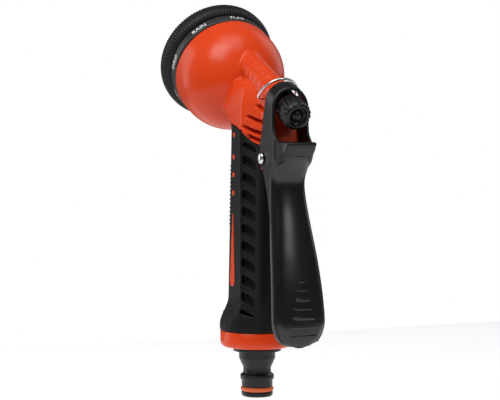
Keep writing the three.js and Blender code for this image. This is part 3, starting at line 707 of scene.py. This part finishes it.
def lever_ring(z, inset, raise_back, crown, front=None, bow=0.7):
    """The lever's section at one height: straight cheeks and a crowned back with round corners."""
    half = max(along(LEVER_HALF_LINE, z) - inset, 0.6)
    back = along(LEVER_BACK_LINE, z) + raise_back
    near = along(LEVER_FRONT_LINE, z) if front is None else front(z)
    corner = min(crown, half * 0.5, max(back - near, 0.4) * 0.75)
    ring = [(-half, near)]
    steps = 24
    for i in range(steps + 1):
        t = -1 + 2 * i / steps
        x = half * math.sin(t * math.pi / 2)
        edge = abs(x) / half
        rounding = max(0, (edge * half - (half - corner)) / corner)
        drop = corner * (1 - math.sqrt(max(0, 1 - rounding ** 2)))
        ring.append((x, back - drop - bow * edge ** 2))
    ring.append((half, near))
    return [(x, y, z) for x, y in ring]


ARCH_R = 10
OPENING_R = 8.2
LIP_Z = 130.4
LIP_SWEEP = 8


def make_lever():
    levels = [29.4, 29.7, 30.2, 31] + [32 + i for i in range(98)] + [130, 130.4]
    lever = lofted("hand_lever", [
        lever_ring(z, 0, -1.6 if z < 117 else -1.6 * max(0, 1 - (z - 117) / 4), 2.4) for z in levels])
    spine = [(along(LEVER_FRONT_LINE, z), z) for z in (126, 129, 132, 134.5, 136.5)]
    sweep = [(38.6 + LIP_SWEEP * (1 - i / 8) ** 2, LIP_Z + LIP_SWEEP * (i / 8) ** 2) for i in range(9)]
    side = spine + [(32, 160), (38.6, 160)] + sweep[::-1] + [(46.6, 126)]
    turns = [i * math.pi / 32 for i in range(33)]
    arch = [(ARCH_R * math.cos(turn), VALVE_UP + ARCH_R * math.sin(turn)) for turn in turns]
    arch = bar("arch", [(ARCH_R, -8)] + arch + [(-ARCH_R, -8)], -95, -58)
    upper = moved(arch, SPRAY)
    post = bar("post", [(-ARCH_R, 20), (ARCH_R, 20), (ARCH_R, 50), (-ARCH_R, 50)], 124, 140)
    combined(upper, [post], "UNION")
    combined(upper, [moved(bar("side", side, -14, 14), ACROSS)], "INTERSECT")
    inner_levels = [31.6] + [33 + i for i in range(94)] + [127.6]
    channel = lofted("channel", [
        lever_ring(z, 1.9, -2.3, 2, lambda height: 5) for z in inner_levels])
    between = [(-OPENING_R, 0), (OPENING_R, 0), (OPENING_R, 34.5), (-OPENING_R, 34.5)]
    between = bar("between", between, 112, 138)
    opening = [(OPENING_R * math.cos(turn), VALVE_UP + OPENING_R * math.sin(turn)) for turn in turns]
    opening = [(OPENING_R, -30)] + opening + [(-OPENING_R, -30)]
    opening = moved(bar("opening", opening, -95, -50), SPRAY)
    above = bar("above", [(-20, 0), (20, 0), (20, 80), (-20, 80)], LIP_Z, 190)
    combined(opening, [above], "INTERSECT")
    shoulders = []
    for side_of in (-1, 1):
        corner = [(7.6, 54), (8.2, 47), (9.9, 40.5), (14, 38.6), (16, 38.6), (16, 54)]
        shoulders.append(bar("shoulder", [(x * side_of, y) for x, y in corner], 119.5, 145))
    combined(lever, [upper], "UNION")
    combined(lever, [channel, between, opening] + shoulders, "DIFFERENCE")
    lugs = []
    for side_of in (-1, 1):
        lug = turned("lug", [(0, 3.4), (1.7, 3.4), (1.7, 8.6), (0, 8.6)], 24)
        moved(lug, Matrix.Rotation(side_of * math.pi / 2, 4, "Y"))
        lugs.append(moved(lug, SPRAY @ Matrix.Translation((0, VALVE_UP, -74.15))))
    combined(lever, lugs, "UNION")
    return moulded(lever, 0.42, 7)


PALM_PROUD = 0.35
PALM_BOW = 1.7
PALM_LINES = 7


def make_palm():
    """The glossy pad: it stands a little proud of the lever and stops short of its edges."""
    levels = [31.2, 31.6, 32.4, 33.5] + [35 + i for i in range(87)] + [121.9, 122.6, 123.2, 123.6]
    rings = []
    for z in levels:
        foot = min((z - 30.6) / 5, 1)
        head = min((124 - z) / 8.5, 1)
        ends = min(foot, head)
        inset = 0.05 + (4.2 if head < 1 else 3.2) * (1 - math.sqrt(max(0, 1 - (1 - ends) ** 2)))
        proud = PALM_PROUD + 0.5 * min(max((z - 108) / 8, 0), 1)
        proud -= 1.1 * max(0, 1 - (124 - z) / 2.5) ** 2 + 0.9 * (1 - foot) ** 2
        rings.append(lever_ring(
            z, inset, proud, 4.2, lambda height: along(LEVER_BACK_LINE, height) - 5.6, PALM_BOW))
    return lofted("palm_pad", rings)


def palm_ridges():
    """Fine lines across the foot of the palm, each wider than the one above."""
    paths = []
    for i in range(PALM_LINES):
        z = 62.7 - 4.4 * i
        reach = 1.4 + 1.0 * i
        run = []
        for step in range(17):
            x = reach * (-1 + step / 8)
            half = along(LEVER_HALF_LINE, z)
            skin = along(LEVER_BACK_LINE, z) + PALM_PROUD - PALM_BOW * (x / half) ** 2
            run.append((x - 0.6, skin - 0.12, z))
        paths.append(run)
    return paths


finished(make_lever(), black, "black_plastic", "lever", "trigger_lever")
black_gloss = plastic("palm_gloss", (0.003, 0.003, 0.0035), 0.25, 0.03, 900, 0.002)
palm = make_palm()
palm = combined(palm, [beads("palm_lines", palm_ridges(), 0.24, 8, black_gloss)], "UNION")
finished(palm, black_gloss, "black_gloss", "lever", "trigger_lever")


# ---- Lever pin ----
# A plated steel rivet through both cheeks and the web; its low domed heads stand on the cheeks.
def steel_finish():
    finish = plastic("plated_steel", (0.62, 0.63, 0.65), 0.24, 0.05, 1300, 0.004)
    finish.node_tree.nodes["Principled BSDF"].inputs["Metallic"].default_value = 1
    return finish


steel = steel_finish()
dome = [(2.85 * math.cos(i * math.pi / 20), 10.9 + 1.3 * math.sin(i * math.pi / 20)) for i in range(11)]
rivet_profile = [(0, -12.2)] + [(r, -h) for r, h in reversed(dome[:-1])]
rivet_profile += [(2.85, -10.3), (1.6, -10.3), (1.6, 10.3), (2.85, 10.3)] + dome[:-1] + [(0, 12.2)]
rivet = turned("lever_rivet", rivet_profile, 64)
moved(rivet, Matrix.Translation(PIVOT) @ ACROSS)
finished(rivet, steel, "steel", "body", "lever_pin")


# ---- Wire bail ----
# A bright steel wire bent to a hoop. Its ends turn in to the body, and it lies back on the
# lever's arch, from where it swings up and forward.
BAIL = Vector(JOINTS["bail_swing"]["pos_m"]) / MM
WIRE_R = 0.65
lean = math.radians(45)
half, leg, rise, bend = 9.9, 2.2, 11.3, 1.6
hoop = [(6.8, 0), (7.6, 0)]
hoop += [(half - bend + bend * math.sin(i * math.pi / 12), bend - bend * math.cos(i * math.pi / 12))
         for i in range(7)]
hoop += [(half * math.cos(i * math.pi / 48), leg + rise * math.sin(i * math.pi / 48)) for i in range(25)]
hoop += [(-x, up) for x, up in reversed(hoop[:-1])]
hoop = [(x, up * math.sin(lean) + BAIL.y, up * math.cos(lean) + BAIL.z) for x, up in hoop]
finished(beads("wire_bail", [hoop], WIRE_R, 16, steel), steel, "steel", "bail", "hold_open_bail")


# ---- Flow knob and valve ----
# A black knob with rounded flutes on the end of the brass stem; its back is dished round a domed
# boss. The stem runs through a gland nut, with its seals and spring inside the barrel.
def ring_tree():
    """Sets copies of a part at equal steps round the Z axis."""
    tree = bpy.data.node_groups.new("round_the_axis", "GeometryNodeTree")
    face = tree.interface
    face.new_socket("Geometry", in_out="INPUT", socket_type="NodeSocketGeometry")
    face.new_socket("Copies", in_out="INPUT", socket_type="NodeSocketInt")
    face.new_socket("Finish", in_out="INPUT", socket_type="NodeSocketMaterial")
    face.new_socket("Geometry", in_out="OUTPUT", socket_type="NodeSocketGeometry")
    nodes = tree.nodes
    links = tree.links
    given = nodes.new("NodeGroupInput")
    made = nodes.new("NodeGroupOutput")
    points = nodes.new("GeometryNodeMeshLine")
    points.mode = "OFFSET"
    points.inputs["Offset"].default_value = (0, 0, 0)
    index = nodes.new("GeometryNodeInputIndex")
    share = nodes.new("ShaderNodeMath")
    share.operation = "DIVIDE"
    angle = nodes.new("ShaderNodeMath")
    angle.operation = "MULTIPLY"
    angle.inputs[1].default_value = 2 * math.pi
    about = nodes.new("ShaderNodeCombineXYZ")
    copies = nodes.new("GeometryNodeInstanceOnPoints")
    realize = nodes.new("GeometryNodeRealizeInstances")
    paint = nodes.new("GeometryNodeSetMaterial")
    links.new(given.outputs["Copies"], points.inputs["Count"])
    links.new(index.outputs[0], share.inputs[0])
    links.new(given.outputs["Copies"], share.inputs[1])
    links.new(share.outputs[0], angle.inputs[0])
    links.new(angle.outputs[0], about.inputs["Z"])
    links.new(points.outputs["Mesh"], copies.inputs["Points"])
    links.new(given.outputs["Geometry"], copies.inputs["Instance"])
    links.new(about.outputs[0], copies.inputs["Rotation"])
    links.new(copies.outputs["Instances"], realize.inputs["Geometry"])
    links.new(realize.outputs["Geometry"], paint.inputs["Geometry"])
    links.new(given.outputs["Finish"], paint.inputs["Material"])
    links.new(paint.outputs["Geometry"], made.inputs["Geometry"])
    return tree


RING = ring_tree()


def around(piece, copies, finish):
    """A piece repeated round the Z axis, as a plain mesh."""
    repeat = piece.modifiers.new("repeat", "NODES")
    repeat.node_group = RING
    set_inputs(repeat, copies=copies, finish=finish)
    return plain(piece)


def merged(name, *pieces):
    """Several shapes kept as one piece."""
    whole = bmesh.new()
    for piece in pieces:
        whole.from_mesh(piece.data)
        bpy.data.objects.remove(piece)
    mesh = bpy.data.meshes.new(name)
    whole.to_mesh(mesh)
    whole.free()
    piece = bpy.data.objects.new(name, mesh)
    bpy.context.scene.collection.objects.link(piece)
    return piece


def fluted(name, profile, radius, reach):
    """One rounded flute that follows a profile of (distance out, height)."""
    rings = []
    for out, height in profile:
        turns = [i * math.pi / 5 for i in range(10)]
        rings.append([
            (out - reach + reach * 2 * math.cos(turn), radius * math.sin(turn), height)
            for turn in turns])
    return lofted(name, rings)


KNOB_FRONT = -76.2
KNOB_BACK = -87.6
KNOB_DISH = 2.6
KNOB_FLUTES = 18
drum = [(2.3, KNOB_FRONT), (6.6, KNOB_FRONT), (6.95, KNOB_FRONT - 0.5), (6.95, KNOB_BACK + 1.2)]
drum += [(6.3, KNOB_BACK + 0.3), (5.9, KNOB_BACK), (5, KNOB_BACK), (4.7, KNOB_BACK + 0.3)]
drum += [(4.5, KNOB_BACK + KNOB_DISH)]
drum += [(3.1 * math.cos(i * math.pi / 20), KNOB_BACK + KNOB_DISH - 2.5 * math.sin(i * math.pi / 20))
         for i in range(1, 10)]
drum += [(0, KNOB_BACK + 0.1), (0, KNOB_BACK + 3.9), (2.3, KNOB_BACK + 3.9)]
flute_profile = [
    (6.4, KNOB_BACK + 0.5), (6.85, KNOB_BACK + 0.9), (7.1, KNOB_BACK + 2), (7.15, KNOB_BACK + 6),
    (7.15, KNOB_FRONT - 1), (6.9, KNOB_FRONT - 0.25)]
flutes = around(fluted("flute", flute_profile, 0.78, 0.33), KNOB_FLUTES, black)
knob = merged("flow_knob_cap", turned("drum", drum, 96, closed=True), flutes)
moved(knob, SPRAY @ Matrix.Translation((0, VALVE_UP, 0)))
finished(knob, black, "black_plastic", "knob", "flow_knob")

brass = plastic("brass", (0.6, 0.42, 0.14), 0.3, 0.06, 1200, 0.006)
brass.node_tree.nodes["Principled BSDF"].inputs["Metallic"].default_value = 1
seal_black = plastic("seal_black", (0.02, 0.02, 0.02), 0.6, 0.05, 1200, 0.02)
acetal = plastic("acetal", (0.72, 0.71, 0.68), 0.42, 0.05, 900, 0.01)


def paint_nodes(finish, *names):
    for name in names:
        NODES[name].data.materials.clear()
        NODES[name].data.materials.append(finish)


paint_nodes(brass, "valve_seat", "valve_stem")
paint_nodes(steel, "stem_spring", "dial_seal_spring", "detent_ball", "detent_spring")
paint_nodes(seal_black, "inlet_washer", "valve_seal", "stem_oring", "dial_seal", "dial_gasket")
paint_nodes(acetal, "dial_back_plate")
paint_nodes(black, "gland_nut")


# ---- Dial ----
# Eight spray patterns on one turning disc: a dark housing with printed pattern names, a fluted
# rubber ring round it, and a black outlet plate held by a central screw.
band_grey = plastic("band_grey", (0.022, 0.021, 0.022), 0.42, 0.05, 1100, 0.012)
white_ink = plastic("white_ink", (0.8, 0.8, 0.8), 0.55, 0.04, 1500, 0.004)
HOUSING_R = 28.2
housing = [
    (2.6, 1.8), (25, 1.8), (25, 0.5), (27.6, 0.5), (HOUSING_R, 1.1), (HOUSING_R, 6), (27.2, 6.3),
    (27.2, 15.4), (24.6, 15.4), (24.6, 12.2), (2.6, 12.2)]
housing = turned("dial_body", rounded(housing, 0.25), 160, closed=True)
finished(moved(housing, SPRAY), band_grey, "black_plastic", "dial", "dial_housing")

PATTERN_NAMES = ("RAIN", "FLAT", "MIST", "JET", "FAN", "SOAK", "WASH", "DRIP")
LETTER = 2.7


def word(text, angle):
    """A printed word, thin as ink, that reads round the band."""
    data = bpy.data.curves.new("word", "FONT")
    data.body = text
    data.size = LETTER * 1.35
    data.align_x = "CENTER"
    data.space_character = 1.05
    data.offset = 0.03
    written = bpy.data.objects.new("word", data)
    bpy.context.scene.collection.objects.link(written)
    bpy.context.view_layer.update()
    mesh = bpy.data.meshes.new_from_object(written.evaluated_get(bpy.context.evaluated_depsgraph_get()))
    bpy.data.objects.remove(written)
    flat = bmesh.new()
    flat.from_mesh(mesh)
    bmesh.ops.triangulate(flat, faces=flat.faces)
    bmesh.ops.subdivide_edges(flat, edges=[e for e in flat.edges if e.calc_length() > 1], cuts=1)
    for vert in flat.verts:
        turn = angle + vert.co.x / HOUSING_R
        radius = HOUSING_R + 0.04
        vert.co = Vector((radius * math.cos(turn), radius * math.sin(turn), 2.1 + vert.co.y)) * MM
    flat.to_mesh(mesh)
    flat.free()
    piece = bpy.data.objects.new("word", mesh)
    bpy.context.scene.collection.objects.link(piece)
    return piece


first_word = math.radians(51)
words = [word(name, first_word + i * math.pi / 4) for i, name in enumerate(PATTERN_NAMES)]
finished(moved(merged("pattern_names", *words), SPRAY), white_ink, "pale_plastic", "dial")

GRIP_LOW = 6.7
GRIP_HIGH = 17.3
GRIP_RING_R = 31.1
middle = (GRIP_LOW + GRIP_HIGH) / 2
reach = (GRIP_HIGH - GRIP_LOW) / 2


def grip_profile(inset):
    """The rubber ring's rounded outside, from back to front."""
    run = []
    for i in range(15):
        t = -1 + 2 * i / 14
        run.append((GRIP_RING_R - inset - 2.4 * abs(t) ** 3.2, middle + t * reach * (1 - 0.03 * inset)))
    return run


band = grip_profile(0.6) + [(27.3, GRIP_HIGH), (27.3, GRIP_LOW)]
ring_rubber = duller(plastic("ring_rubber", (0.006, 0.006, 0.0065), 0.44, 0.06, 1300, 0.015), 0.3)
grooves = around(fluted("grip_flute", grip_profile(0.36), 0.56, 0.17), 120, ring_rubber)
grip = merged("dial_grip_ring", turned("band", band, 240, closed=True), grooves)
finished(moved(grip, SPRAY), ring_rubber, "grip_rubber", "dial", "dial_grip")
paint_nodes(black, "dial_face_plate")
paint_nodes(steel, "dial_screw")
